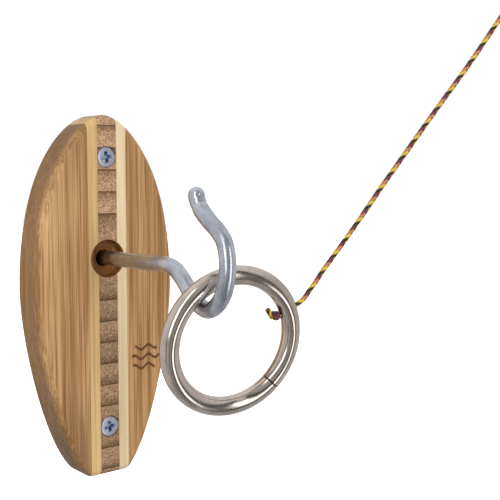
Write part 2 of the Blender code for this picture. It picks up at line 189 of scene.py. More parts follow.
def rodMesh(name, route, radii, sides):
    # a round rod, with a UV map that runs round it (U) and along it (V, in millimetres)
    shape = bmesh.new()
    uv = shape.loops.layers.uv.new("wire")
    last = len(route) - 1
    neighbours = zip(route[:1] + route[:-1], route[1:] + route[-1:])
    tangents = [(after - before).normalized() for before, after in neighbours]
    side = tangents[0].orthogonal().normalized()
    hoops, travelled = [], [0.0]
    for i, (point, along) in enumerate(zip(route, tangents)):
        side = (side - along * side.dot(along)).normalized()
        across = along.cross(side)
        turns = [2 * math.pi * k / sides for k in range(sides)]
        outward = [side * math.cos(t) + across * math.sin(t) for t in turns]
        hoops.append([shape.verts.new(point + way * radii[i]) for way in outward])
        if i:
            travelled.append(travelled[-1] + (point - route[i - 1]).length)
    for i in range(last):
        for k in range(sides):
            j = (k + 1) % sides
            face = shape.faces.new((hoops[i][k], hoops[i][j], hoops[i + 1][j], hoops[i + 1][k]))
            around = (k / sides, (k + 1) / sides, (k + 1) / sides, k / sides)
            length = (travelled[i], travelled[i], travelled[i + 1], travelled[i + 1])
            for corner, u, v in zip(face.loops, around, length):
                corner[uv].uv = (u, v / mm)
    shape.faces.new(hoops[0][::-1])
    shape.faces.new(hoops[-1])
    bmesh.ops.recalc_face_normals(shape, faces=shape.faces)
    return meshOf(shape, name)


def domedEnd(route, radius, steps=9):
    # the route and its radii, closed at the far end with a dome
    tip = route[-1]
    direction = (tip - route[-2]).normalized()
    kept = [p for p in route if (tip - p).dot(direction) > radius or (tip - p).length > 4 * radius]
    radii = [radius] * len(kept)
    for step in range(steps):
        turn = math.pi / 2 * step / steps
        kept.append(tip - direction * radius + direction * radius * math.sin(turn))
        radii.append(radius * math.cos(turn))
    return kept, radii


# small helpers for node trees

def plug(socket, value):
    if isinstance(value, bpy.types.NodeSocket):
        socket.id_data.links.new(value, socket)
    elif value is not None:
        socket.default_value = value


def addNode(tree, kind, settings=None, **inputs):
    node = tree.nodes.new(kind)
    for name, value in (settings or {}).items():
        setattr(node, name, value)
    for name, value in inputs.items():
        plug(node.inputs[name.replace("_", " ")], value)
    return node


def fillInOrder(node, *values):
    for socket, value in zip(node.inputs, values):
        plug(socket, value)
    return node.outputs[0]


def calc(tree, operation, *values):
    return fillInOrder(addNode(tree, "ShaderNodeMath", {"operation": operation}), *values)


def times(tree, a, b):
    return calc(tree, "MULTIPLY", a, b)


def minus(tree, a, b):
    return calc(tree, "SUBTRACT", a, b)


def vectorCalc(tree, operation, *values):
    return fillInOrder(addNode(tree, "ShaderNodeVectorMath", {"operation": operation}), *values)


def splitUp(tree, vector):
    return addNode(tree, "ShaderNodeSeparateXYZ", Vector=vector).outputs


def blendColour(tree, amount, first, second, kind="MIX"):
    node = addNode(tree, "ShaderNodeMix", {"data_type": "RGBA", "blend_type": kind}, Factor=amount)
    for socket, colour in zip(node.inputs[6:8], (first, second)):
        plug(socket, (*colour, 1) if isinstance(colour, tuple) else colour)
    return node.outputs[2]


def ramp(tree, value, stops, smooth="LINEAR"):
    node = addNode(tree, "ShaderNodeValToRGB", Fac=value)
    node.color_ramp.interpolation = smooth
    while len(node.color_ramp.elements) < len(stops):
        node.color_ramp.elements.new(0.5)
    for element, (place, colour) in zip(node.color_ramp.elements, stops):
        element.position = place
        element.color = (*colour, 1) if isinstance(colour, tuple) else (colour, colour, colour, 1)
    return node.outputs[0]


def remap(tree, value, low, high, newLow=0.0, newHigh=1.0):
    node = addNode(tree, "ShaderNodeMapRange", {"interpolation_type": "SMOOTHSTEP"}, Value=value,
                   From_Min=low, From_Max=high, To_Min=newLow, To_Max=newHigh)
    return node.outputs[0]


def fadeOut(tree, value, low, high):
    return remap(tree, value, low, high, 1.0, 0.0)


def objectPoint(tree):
    return addNode(tree, "ShaderNodeTexCoord").outputs["Object"]


def attribute(tree, name, output="Fac"):
    return addNode(tree, "ShaderNodeAttribute", {"attribute_name": name}).outputs[output]


def scaled(tree, point, scale):
    return addNode(tree, "ShaderNodeMapping", Vector=point, Scale=scale).outputs[0]


def inCells(tree, point, sizes):
    # coordinates counted in cells of the given sizes, in millimetres
    return scaled(tree, point, [1 / (size * mm) for size in sizes])


def noise(tree, place, detail=2.0, roughness=0.5):
    node = addNode(tree, "ShaderNodeTexNoise", Vector=place, Scale=1.0, Detail=detail,
                   Roughness=roughness)
    return node.outputs["Fac"]


def cellDistance(tree, place):
    return addNode(tree, "ShaderNodeTexVoronoi", Vector=place, Scale=1.0).outputs["Distance"]


def shaderGroup(name, inputs, outputs):
    tree = bpy.data.node_groups.new(name, "ShaderNodeTree")
    for label, value in inputs.items():
        kind = "NodeSocketVector" if value is None else "NodeSocketFloat"
        socket = tree.interface.new_socket(name=label, in_out="INPUT", socket_type=kind)
        if value is not None:
            socket.default_value = value
    for label in outputs:
        tree.interface.new_socket(name=label, in_out="OUTPUT", socket_type="NodeSocketFloat")
    return tree, addNode(tree, "NodeGroupInput").outputs, addNode(tree, "NodeGroupOutput").inputs


def useGroup(tree, group, **inputs):
    node = tree.nodes.new("ShaderNodeGroup")
    node.node_tree = group
    for name, value in inputs.items():
        plug(node.inputs[name], value)
    return node.outputs


def newMaterial(name, **constants):
    material = bpy.data.materials.new(name)
    material.use_nodes = True
    tree = material.node_tree
    shader = tree.nodes["Principled BSDF"]
    for label, value in constants.items():
        shader.inputs[label.replace("_", " ")].default_value = value
    return material, tree, shader


def addBump(tree, shader, height, distance, strength=1.0):
    bump = addNode(tree, "ShaderNodeBump", Height=height, Distance=distance * mm, Strength=strength)
    plug(shader.inputs["Normal"], bump.outputs[0])


def geometryTree(name, inputs):
    tree = bpy.data.node_groups.new(name, "GeometryNodeTree")
    made = tree.interface.new_socket
    made(name="Geometry", in_out="OUTPUT", socket_type="NodeSocketGeometry")
    sockets = {}
    for label, kind in {"Geometry": "Geometry", **inputs, "Finish": "Material"}.items():
        socket = made(name=label, in_out="INPUT", socket_type="NodeSocket" + kind)
        sockets[label] = socket.identifier
    return tree, sockets, addNode(tree, "NodeGroupInput").outputs


def finishTree(tree, geometry, material):
    whole = addNode(tree, "GeometryNodeRealizeInstances", Geometry=geometry)
    dressed = addNode(tree, "GeometryNodeSetMaterial", Geometry=whole.outputs[0], Material=material)
    plug(addNode(tree, "NodeGroupOutput").inputs[0], dressed.outputs[0])


def addTree(piece, tree, sockets, values):
    step = piece.modifiers.new(tree.name, "NODES")
    step.node_group = tree
    for label, value in values.items():
        step[sockets[label]] = value


def sweep(tree, curve, profile):
    tube = addNode(tree, "GeometryNodeCurveToMesh", Curve=curve, Profile_Curve=profile,
                   Fill_Caps=True)
    return tube.outputs[0]


# shared effects

def makeFibreGroup():
    # bamboo's fibres along Z: bundles that show as lines along the grain and as dots across it
    tree, given, out = shaderGroup(
        "bambooFibre", {"Point": None, "Density": 0.5, "Seed": 0.0, "Fineness": 1.0},
        ("Bundles", "Streaks", "Tone", "Height"))
    shift = times(tree, given["Seed"], 0.0137)
    shift = addNode(tree, "ShaderNodeCombineXYZ", X=shift, Y=shift, Z=shift).outputs[0]
    finer = vectorCalc(tree, "SCALE", given["Point"], None, None, given["Fineness"])
    place = vectorCalc(tree, "ADD", finer, shift)
    wander = noise(tree, inCells(tree, place, (7, 7, 60)), 1)
    place = vectorCalc(tree, "MULTIPLY_ADD", wander, (0.9 * mm, 0.9 * mm, 0), place)
    apart = cellDistance(tree, inCells(tree, place, (0.8, 0.8, 60)))
    size = calc(tree, "MULTIPLY_ADD", given["Density"], 0.34, 0.2)
    bundles = fadeOut(tree, calc(tree, "DIVIDE", apart, size), 0.8, 1.25)
    fine = noise(tree, inCells(tree, place, (0.42, 0.42, 75)), 2, 0.6)
    broad = noise(tree, inCells(tree, place, (1.7, 1.7, 150)))
    streaks = calc(tree, "ADD", times(tree, fine, 0.55), times(tree, broad, 0.45))
    plug(out["Bundles"], bundles)
    plug(out["Streaks"], remap(tree, streaks, 0.41, 0.59))
    plug(out["Tone"], noise(tree, inCells(tree, place, (8, 8, 160)), 1))
    plug(out["Height"], minus(tree, fine, times(tree, bundles, 0.5)))
    return tree


def makeScorchGroup():
    # the counterbore's scorched wood: full inside it, fading over its rim, only at the front
    tree, given, out = shaderGroup("scorch", {"Point": None, "Radius": 6.8 * mm}, ("Amount",))
    x, y, z = splitUp(tree, given["Point"])
    squares = calc(tree, "ADD", calc(tree, "POWER", x, 2.0), calc(tree, "POWER", z, 2.0))
    edge = minus(tree, calc(tree, "SQRT", squares), given["Radius"])
    front = fadeOut(tree, y, -9.5 * mm, -8.5 * mm)
    plug(out["Amount"], times(tree, front, fadeOut(tree, edge, 0.03 * mm, 0.22 * mm)))
    return tree


def makeWearGroup():
    # handling marks: soft smudges, fine rubbed lines along a wire, and small pits
    tree, given, out = shaderGroup(
        "wear", {"Point": None, "Wire": None}, ("Smudge", "Lines", "Pits"))
    smudge = noise(tree, inCells(tree, given["Point"], (7, 7, 7)), 4, 0.6)
    lines = noise(tree, scaled(tree, given["Wire"], (38, 0.16, 1)), 3, 0.65)
    pits = cellDistance(tree, inCells(tree, given["Point"], (0.9, 0.9, 0.9)))
    plug(out["Smudge"], remap(tree, smudge, 0.3, 0.7))
    plug(out["Lines"], remap(tree, lines, 0.3, 0.7))
    plug(out["Pits"], fadeOut(tree, pits, 0.06, 0.2))
    return tree


fibreGroup = makeFibreGroup()
scorchGroup = makeScorchGroup()
wearGroup = makeWearGroup()


# cord: braided, from the stopper knot through the ring to the loop at the ceiling eye
ring = {
    "middle": 22.225, "wire": 6.31, "turn": -9.6, "lean": -9.5, "seamAt": -45.0, "slit": 0.16,
    "chamfer": 0.2, "holeAt": 24.5, "holeSpare": 0.3, "holeFlare": 0.35, "steps": 300, "sides": 56,
}
cord = {
    "diameter": 1.8, "strands": 4, "sides": 32, "relief": 0.13, "spacing": 0.1,
    "lay": 6.9,  # length along the cord in which a strand goes once round
    "match": 2.0,  # which strand of one direction meets its own colour on the facing side
    "route": [
        (36.1, -79.2, -11.6), (37.5, -79.6, -10.1), (38.5, -79.8, -8.3), (40.5, -80.5, -6.1),
        (43.0, -81.3, -2.2), (46.3, -82.6, 2.2), (49.6, -83.9, 6.7), (56.2, -86.9, 16.4),
        (62.6, -90.1, 26.5), (69.3, -93.5, 36.7), (76.0, -96.9, 46.9), (82.9, -100.4, 57.2),
        (89.9, -104.0, 67.6), (96.8, -107.5, 78.5), (103.1, -110.5, 88.4),
    ],
    "smoothing": 40,
    "topKnot": (104.3, -111.1, 90.5),
    "loop": (5.0, 4.3),
    "loopStart": 1.44,  # from the middle of the knot
    "colours": (
        (0.70, 0.47, 0.03), (0.52, 0.20, 0.06), (0.16, 0.022, 0.05), (0.016, 0.009, 0.009)),
}


def ringAxes():
    low, high = (Vector(corner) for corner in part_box("ring"))
    turn, lean = math.radians(ring["turn"]), math.radians(ring["lean"])
    level = math.cos(lean)
    facing = Vector((math.sin(turn) * level, -math.cos(turn) * level, math.sin(lean)))
    across = Vector((0, 0, 1)).cross(facing).normalized()
    return (low + high) / 2, across, facing.cross(across)


def ringDirection(turn):
    return ringAcross * math.cos(turn) + ringUp * math.sin(turn)


ringCentre, ringAcross, ringUp = ringAxes()
holeDirection = ringDirection(math.radians(ring["holeAt"]))
innerMouth = ring["middle"] - ring["wire"] / 2
print("ring centre", [round(v / mm, 2) for v in ringCentre])


def makeBraidTree():
    tree, sockets, given = geometryTree("braid", {
        "Diameter": "Float", "Lay": "Float", "Relief": "Float", "Strands": "Int", "Sides": "Int",
        "Spacing": "Float", "Match": "Float",
    })

    def capture(name, geometry, output):
        node = tree.nodes.new("GeometryNodeCaptureAttribute")
        node.capture_items.new("FLOAT", name)
        fillInOrder(node, geometry, addNode(tree, "GeometryNodeSplineParameter").outputs[output])
        return node.outputs

    def store(name, kind, geometry, value):
        node = addNode(tree, "GeometryNodeStoreNamedAttribute", {"data_type": kind}, Name=name,
                       Geometry=geometry, Value=value)
        return node.outputs[0]

    even = addNode(tree, "GeometryNodeResampleCurve", {"mode": "LENGTH"}, Curve=given["Geometry"],
                   Length=given["Spacing"])
    line, along = capture("Along", even.outputs[0], "Length")[:2]
    core = minus(tree, calc(tree, "DIVIDE", given["Diameter"], 2.0), given["Relief"])
    circle = addNode(tree, "GeometryNodeCurvePrimitiveCircle", Resolution=given["Sides"],
                     Radius=core)
    profile, around = capture("Around", circle.outputs[0], "Factor")[:2]
    tube = sweep(tree, line, profile)
    travelled = calc(tree, "DIVIDE", along, given["Lay"])
    right = times(tree, calc(tree, "ADD", around, travelled), given["Strands"])
    left = times(tree, minus(tree, around, travelled), given["Strands"])
    rightStrand, leftStrand = (calc(tree, "FLOOR", way) for way in (right, left))
    rightPart, leftPart = (calc(tree, "FRACT", way) for way in (right, left))
    over = calc(tree, "FLOORED_MODULO", calc(tree, "ADD", rightStrand, leftStrand), 2.0)
    rightHump, leftHump = (
        calc(tree, "SINE", times(tree, part, math.pi)) for part in (rightPart, leftPart))
    hump = calc(tree, "POWER", times(tree, rightHump, leftHump), 0.45)
    lift = vectorCalc(tree, "SCALE", addNode(tree, "GeometryNodeInputNormal").outputs[0], None,
                      None, times(tree, hump, given["Relief"]))
    raised = addNode(tree, "GeometryNodeSetPosition", Geometry=tube, Offset=lift)
    rightColour = calc(tree, "FLOORED_MODULO", rightStrand, 4.0)
    leftColour = calc(tree, "FLOORED_MODULO", minus(tree, given["Match"], leftStrand), 4.0)
    chosen = calc(tree, "ADD", times(tree, over, leftColour),
                  times(tree, minus(tree, 1.0, over), rightColour))
    stops = [(i / 4, colour) for i, colour in enumerate(cord["colours"])]
    colour = ramp(tree, calc(tree, "MULTIPLY_ADD", chosen, 0.25, 0.125), stops, "CONSTANT")
    dyed = store("strand", "FLOAT_COLOR", raised.outputs[0], colour)
    # the place across and along the strand on top, which shades it towards its edges
    weave = addNode(tree, "ShaderNodeCombineXYZ", X=rightPart, Y=leftPart, Z=over).outputs[0]
    woven = store("weave", "FLOAT_VECTOR", dyed, weave)
    soft = addNode(tree, "GeometryNodeSetShadeSmooth", Geometry=woven)
    finishTree(tree, soft.outputs[0], given["Finish"])
    return tree, sockets


def makeCordMaterial():
    material, tree, shader = newMaterial(
        "braidedCord", Roughness=0.62, Sheen_Weight=0.25, Sheen_Roughness=0.5)
    x, y, _ = splitUp(tree, attribute(tree, "weave", "Vector"))
    humps = [calc(tree, "SINE", times(tree, part, math.pi)) for part in (x, y)]
    shade = remap(tree, times(tree, *humps), 0.0, 0.5, 0.45, 1.0)
    fuzz = noise(tree, inCells(tree, objectPoint(tree), (0.14, 0.14, 0.14)), 3, 0.7)
    dulled = blendColour(tree, 1.0, attribute(tree, "strand", "Color"),
                         remap(tree, fuzz, 0.3, 0.7, 0.72, 1.2), "MULTIPLY")
    plug(shader.inputs["Base Color"], blendColour(tree, 1.0, dulled, shade, "MULTIPLY"))
    addBump(tree, shader, fuzz, 0.06)
    return material


braidTree, braidSockets = makeBraidTree()
cordMaterial = makeCordMaterial()


def braid(name, route, closed=False, diameter=cord["diameter"], spacing=cord["spacing"]):
    curve = bpy.data.curves.new(name, "CURVE")
    curve.dimensions = "3D"
    spline = curve.splines.new("POLY")
    spline.points.add(len(route) - 1)
    spline.use_cyclic_u = closed
    for point, place in zip(spline.points, route):
        point.co = (*place, 1)
    line = newObject(name + "_line", curve)
    addTree(line, braidTree, braidSockets, {
        "Diameter": diameter * mm, "Lay": cord["lay"] * mm, "Relief": cord["relief"] * mm,
        "Strands": cord["strands"], "Sides": cord["sides"], "Spacing": spacing * mm,
        "Finish": cordMaterial, "Match": cord["match"],
    })
    mesh = evaluatedMesh(line)
    bpy.data.objects.remove(line, do_unlink=True)
    shape = bmesh.new()
    shape.from_mesh(mesh)
    bmesh.ops.remove_doubles(shape, verts=shape.verts, dist=1e-7)
    bmesh.ops.recalc_face_normals(shape, faces=shape.faces)
    shape.to_mesh(mesh)
    shape.free()
    return newObject(name, mesh)


def trefoil(place, side, up, along, across, depth, count):
    # the centre line of a knot, a few millimetres across and flattened along its cord
    points = []
    for i in range(count):
        t = 2 * math.pi * i / count
        points.append(place + side * (math.sin(t) + 2 * math.sin(2 * t)) * across * mm
                      + up * (math.cos(t) - 2 * math.cos(2 * t)) * across * mm
                      - along * math.sin(3 * t) * depth * mm)
    return points


def dyeStrands(piece, shades):
    # each strand colour of the piece is changed for the one that shades gives in its place
    colours = cord["colours"]
    for item in piece.data.attributes["strand"].data:
        apart = [sum(abs(a - b) for a, b in zip(item.color, colour)) for colour in colours]
        item.color = (*colours[shades[apart.index(min(apart))]], 1)


def makeCord():
    # it starts just inside the ring's cross hole and passes straight through
    reaches = [innerMouth - 0.3 + i * (ring["wire"] + 1.2) / 4 for i in range(5)]
    route = [ringCentre + holeDirection * reach * mm for reach in reaches]
    route += [Vector(p) * mm for p in cord["route"]]
    path = smoothRoute(route, 0.4 * mm)
    for _ in range(cord["smoothing"]):
        inner = [(a + b * 2 + c) / 4 for a, b, c in zip(path, path[1:], path[2:])]
        path = path[:1] + inner + path[-1:]
    piece = braid("braided_cord", path)
    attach(piece, swingBody)
    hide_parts("cord")
    return piece, path


def makeStopper():
    place = ringCentre + holeDirection * (innerMouth * mm - 1.9 * mm) + ringUp * 0.5 * mm
    side = holeDirection.cross(ringUp).normalized()
    up = side.cross(holeDirection)
    line = trefoil(place, side, up, holeDirection, 0.4, 0.5, 90)
    knot = braid("stopper_knot_tied", line, closed=True, diameter=1.5, spacing=0.12)
    lean = (ringUp - holeDirection * 0.6).normalized()
    start = place - holeDirection * 0.5 * mm - ringUp * 0.9 * mm - side * 1.1 * mm
    tail = braid("stopper_tail", [start + lean * i * 0.62 * mm for i in range(7)], diameter=1.9)
    dyeStrands(knot, (2, 2, 2, 3))
    dyeStrands(tail, (0, 0, 0, 3))
    for piece in (knot, tail):
        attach(piece, swingBody)
    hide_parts("stopper_knot")
    return [knot, tail]


def makeTopLoop():
    place = Vector(cord["topKnot"]) * mm
    along = (place - Vector(cord["route"][-3]) * mm).normalized()
    side = along.cross(Vector((0, 1, 0))).normalized()
    long, wide = (size * mm for size in cord["loop"])
    middle = place + along * (cord["loopStart"] * mm + long)
    turns = [2 * math.pi * i / 72 for i in range(72)]
    ellipse = [middle + along * long * math.cos(t) + side * wide * math.sin(t) for t in turns]
    loop = braid("eye_loop", ellipse, closed=True)
    line = trefoil(place, side, along.cross(side), along, 0.5, 0.9, 120)
    knot = braid("eye_knot", line, closed=True, diameter=1.6, spacing=0.12)
    for piece in (loop, knot):
        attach(piece, swingBody)
    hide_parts("top_loop")
    inLoop = cord["diameter"] / 2 + 0.3 + 1.3  # half the cord, a little room, half the eye's wire
    return [loop, knot], middle + along * long - along * inLoop * mm


cordPiece, cordPath = makeCord()
stopperPieces = makeStopper()
loopPieces, eyeWire = makeTopLoop()
print("cord braided:", round(routeLength(cordPath) / mm, 1), "mm")


# board: outline, round-over, and the laminations it is divided into
board = {
    "top": 52.0, "tail": 80.3, "thick": 14.0, "halfWidth": 28.3, "widest": 10.7, "tip": 7.0,
    "shoulder": 48.0, "hip": 18.3, "tailHalf": 9.4, "tailSlope": 48.5, "tailRun": 16.0,
    "round": 2.5, "corner": 3.75, "backEdge": 0.3, "sideSteps": 26, "cornerSteps": 10,
}
mark = {
    "place": (15.4, -38.0), "wave": 6.2, "height": 0.8, "halfLine": (0.42, 0.68),
    "lines": ((3.6, 5.2, 0.6), (0.0, 6.6, 0.6), (-3.6, 5.2, -0.4)),  # rise, half length, shift
    "colour": (0.10, 0.035, 0.008), "strength": 0.94, "depth": (-13.8, -13.2), "fade": 0.6,
}
strips = {"block": 7.7, "light": 4.0, "joint": 0.05, "beyond": 2.0}
blocks = {
    "hookBlock": 8.0, "upperLong": 12.5, "lowerLong": 11.3, "tipBlock": 3.7, "tailBlock": 2.3,
    "upper": 4, "lower": 8, "upperTone": 0.82, "lowerTone": 0.64, "toneSpread": 0.12,
}
holes = {
    "counterbore": 6.8, "depth": 3.6, "edge": 0.25, "bore": 3.0, "boreDepth": 11.0,
    "screwHead": 4.05, "screw": 2.2, "upperScrew": 36.8,
}
caramel = {
    "light": (0.635, 0.378, 0.172), "dark": (0.30, 0.145, 0.042), "line": (0.17, 0.07, 0.016),
    "burn": (0.17, 0.075, 0.024), "density": 0.32, "contrast": 0.62, "side": 0.62,
}
pale = {"burn": (0.28, 0.12, 0.03), "density": 0.1, "contrast": 0.6, "side": 0.2}
woods = {  # "ends": painted shade, how much darker the wood is painted far from a height, and that height, where it is painted lightest
    "caramelBamboo": {**caramel, "ends": (0.95, -11.0)},
    "markedBamboo": {**caramel, "ends": (0.5, -48.0), "seed": 31.0},
    "strawBamboo": {
        **pale, "light": (0.68, 0.47, 0.215), "dark": (0.50, 0.31, 0.125),
        "line": (0.42, 0.24, 0.085)},
    "creamBamboo": {
        **pale, "light": (0.76, 0.61, 0.40), "dark": (0.62, 0.46, 0.275),
        "line": (0.52, 0.37, 0.20)},
}


def bezier(p0, p1, p2, p3, steps):
    for i in range(steps):
        t = i / steps
        s = 1 - t
        yield (
            p0 * s**3 + 3 * p1 * s * s * t + 3 * p2 * s * t * t + p3 * t**3,
            ((p1 - p0) * s * s + 2 * (p2 - p1) * s * t + (p3 - p2) * t * t).normalized(),
        )


def boardOutline():
    # (place, outward direction) pairs round the right half, then mirrored for the left half
    slope, corner = math.radians(board["tailSlope"]), board["corner"]
    side = Vector((math.cos(slope), math.sin(slope)))
    curl = corner * 4 / 3 * math.tan(slope / 4)
    tip = Vector((0, board["top"]))
    wide = Vector((board["halfWidth"], -board["widest"]))
    hip = Vector((board["tailHalf"], -board["tail"] + corner * (1 - math.cos(slope))))
    tail = Vector((board["tailHalf"] - corner * math.sin(slope), -board["tail"]))
    middle = Vector((0, -board["tail"]))
    third = Vector((tail.x / 3, 0))
    runs = [
        (tip, tip + Vector((board["tip"], 0)), wide + Vector((0, board["shoulder"])), wide,
         board["sideSteps"]),
        (wide, wide - Vector((0, board["hip"])), hip + side * board["tailRun"], hip,
         board["sideSteps"]),
        (hip, hip - side * curl, tail + Vector((curl, 0)), tail, board["cornerSteps"]),
        (tail, tail - third, middle + third, middle, 3),
    ]
    half = [(p, Vector((-d.y, d.x))) for run in runs for p, d in bezier(*run)]
    mirrored = [(Vector((-p.x, p.y)), Vector((-n.x, n.y))) for p, n in half[1:]][::-1]
    half[0] = (tip, Vector((0, 1)))
    return half + [(middle, Vector((0, -1)))] + mirrored


def makeBlank():
    outline = boardOutline()
    count = len(outline)
    thick, radius, edge = board["thick"], board["round"], board["backEdge"]
    sections = [(edge, 0.0), (0.0, -edge), (0.0, -thick + radius + 0.15)]  # inset, depth
    for i in range(9):
        turn = math.pi / 2 * i / 8
        inset, depth = radius * (1 - math.cos(turn)), -thick + radius - radius * math.sin(turn)
        sections.append((inset, depth))
    sections.append((radius + 0.1, -thick))
    shape = bmesh.new()
    hoops = []
    for inset, depth in sections:
        edgeLine = [place - outward * inset for place, outward in outline]
        hoops.append([shape.verts.new((x * mm, depth * mm, z * mm)) for x, z in edgeLine])
    for back, front in zip(hoops, hoops[1:]):
        for i in range(count):
            j = (i + 1) % count
            shape.faces.new((back[i], back[j], front[j], front[i]))
    shape.faces.new(hoops[0])
    shape.faces.new(hoops[-1][::-1])
    bmesh.ops.recalc_face_normals(shape, faces=shape.faces)
    return meshOf(shape, "board_blank")


def blockJoints():
    half = blocks["hookBlock"] / 2
    upperStart, lowerStart = half + blocks["upperLong"], half + blocks["lowerLong"]
    upperEnd, lowerEnd = board["top"] - blocks["tipBlock"], board["tail"] - blocks["tailBlock"]
    upperPitch = (upperEnd - upperStart) / blocks["upper"]
    lowerPitch = (lowerEnd - lowerStart) / blocks["lower"]
    upper = [upperEnd - i * upperPitch for i in range(blocks["upper"] + 1)]
    lower = [-lowerStart - i * lowerPitch for i in range(blocks["lower"] + 1)]
    ends = board["top"] + strips["beyond"], -board["tail"] - strips["beyond"]
    return [ends[0], *upper, half, -half, *lower, ends[1]]


intoWall = Matrix.Rotation(math.pi / 2, 4, "X")  # turns a profile's top to face the room
screwHeights = {"upper_screw": holes["upperScrew"], "lower_screw": blockJoints()[-4]}


def holeCutters():
    thick, wide, bore = board["thick"], holes["counterbore"], holes["bore"]
    edge, above = holes["edge"], board["thick"] + 3
    floor, end = thick - holes["depth"], thick - holes["boreDepth"]
    cutters = [
        turnedMesh([
            (0, above), (wide + edge, above), (wide + edge, thick), (wide, thick - edge),
            (wide, floor), (0, floor),
        ], 96, intoWall),
        turnedMesh([(0, thick), (bore, thick), (bore, end), (0, end - 0.6)], 64, intoWall),
    ]
    for height in screwHeights.values():
        head, narrow = holes["screwHead"], holes["screw"]
        seat = turnedMesh([
            (0, above), (head, above), (head, thick - 0.5), (narrow, thick - 2.7), (narrow, -3),
            (0, -3),
        ], 64, intoWall)
        seat.transform(Matrix.Translation((0, 0, height * mm)))
        cutters.append(seat)
    return cutters


def waveMark(tree, x, y, z):
    # short waves burned into the front face, one above the other
    across = minus(tree, x, mark["place"][0] * mm)
    rise = minus(tree, z, mark["place"][1] * mm)
    swing = calc(tree, "SINE", times(tree, across, 2 * math.pi / (mark["wave"] * mm)))
    thin, faded = mark["halfLine"]
    total = 0.0
    for offset, half, start in mark["lines"]:
        wave = calc(tree, "MULTIPLY_ADD", swing, mark["height"] * mm, offset * mm)
        level = calc(tree, "ABSOLUTE", minus(tree, rise, wave))
        near = fadeOut(tree, level, thin * mm, faded * mm)
        reach = calc(tree, "ABSOLUTE", minus(tree, across, start * mm))
        inside = fadeOut(tree, reach, (half - mark["fade"]) * mm, half * mm)
        total = calc(tree, "MAXIMUM", total, times(tree, near, inside))
    shallow, deep = (depth * mm for depth in mark["depth"])
    front = remap(tree, y, shallow, deep, mark["strength"], 0.0)
    return times(tree, total, front)


def makeBamboo(name):
    wood = woods[name]
    dark, (darker, paintedLightAt) = wood["dark"], wood.get("ends", (0.1, -14.0))
    material, tree, shader = newMaterial(name, Specular_IOR_Level=0.35)
    point = objectPoint(tree)
    x, y, z = splitUp(tree, point)
    grain = useGroup(tree, fibreGroup, Point=point, Density=wood["density"],
                     Seed=wood.get("seed", 3.0), Fineness=1.3)
    tones = remap(tree, grain["Tone"], 0.3, 0.7)
    streaks = calc(tree, "ADD", times(tree, grain["Streaks"], wood["contrast"]),
                   times(tree, tones, 1.0 - wood["contrast"]))
    colour = blendColour(tree, streaks, dark, wood["light"])
    colour = blendColour(tree, times(tree, grain["Bundles"], 0.55), colour, wood["line"])
    flank = times(tree, remap(tree, y, -13.2 * mm, -9.8 * mm), wood["side"])
    colour = blendColour(tree, flank, colour, (dark[0] * 0.73, dark[1] * 0.61, dark[2] * 0.14))
    # painted light and shade: the wood is painted lightest at one height and darker above and below
    # it
    reach = calc(tree, "ABSOLUTE", minus(tree, z, paintedLightAt * mm))
    shaded = times(tree, remap(tree, reach, 18 * mm, 70 * mm), darker)
    colour = blendColour(tree, shaded, colour, (0.52, 0.5, 0.42), "MULTIPLY")
    if name == "markedBamboo":
        colour = blendColour(tree, waveMark(tree, x, y, z), colour, mark["colour"])
    scorch = useGroup(tree, scorchGroup, Point=point)["Amount"]
    plug(shader.inputs["Base Color"], blendColour(tree, scorch, colour, wood["burn"]))
    plug(shader.inputs["Roughness"], remap(tree, grain["Streaks"], 0.0, 1.0, 0.52, 0.4))
    addBump(tree, shader, grain["Height"], 0.04, 0.5)
    return material


def makeEndGrain():
    # fibres point out of the board; "skin" runs from 0 to 1 towards the stalk's dark outer side
    material, tree, shader = newMaterial("endGrainBamboo", Specular_IOR_Level=0.3)
    point = objectPoint(tree)
    outward = addNode(tree, "ShaderNodeMapping", Vector=point, Rotation=(math.pi / 2, 0, 0))
    skin = attribute(tree, "skin")
    density = calc(tree, "MULTIPLY_ADD", calc(tree, "POWER", skin, 1.6), 0.5, 0.42)
    grain = useGroup(tree, fibreGroup, Point=outward.outputs[0], Density=density, Seed=9.0,
                     Fineness=1.4)
    streaks = remap(tree, grain["Streaks"], 0.2, 0.8)
    pith = blendColour(tree, streaks, (0.42, 0.245, 0.13), (0.60, 0.39, 0.235))
    rind = times(tree, calc(tree, "POWER", skin, 4.0), 0.85)
    ground = blendColour(tree, rind, pith, (0.13, 0.06, 0.02))
    dots = times(tree, grain["Bundles"], 0.74)
    dotted = blendColour(tree, dots, ground, (0.13, 0.062, 0.025))
    seam = times(tree, remap(tree, skin, 0.93, 0.99), 0.7)
    edged = blendColour(tree, seam, dotted, (0.06, 0.025, 0.008))
    toned = blendColour(tree, 1.0, edged, attribute(tree, "tone"), "MULTIPLY")
    scorch = useGroup(tree, scorchGroup, Point=point)["Amount"]
    burn = blendColour(tree, grain["Bundles"], (0.24, 0.095, 0.024), (0.12, 0.042, 0.010))
    # painted shadow: the wood round the mouth of the hook's bore, and just inside it, is painted
    # almost black
    paintedBoreShadow = useGroup(tree, scorchGroup, Point=point, Radius=2.9 * mm)["Amount"]
    scorchAndBoreShadow = blendColour(tree, paintedBoreShadow, burn, (0.004, 0.003, 0.002))
    plug(shader.inputs["Base Color"], blendColour(tree, scorch, toned, scorchAndBoreShadow))
    plug(shader.inputs["Roughness"], remap(tree, grain["Bundles"], 0.0, 1.0, 0.6, 0.5))
    addBump(tree, shader, grain["Height"], 0.05, 0.6)
    return material


def addFloat(mesh, name, values):
    mesh.attributes.new(name, "FLOAT", "POINT").data.foreach_set("value", values)


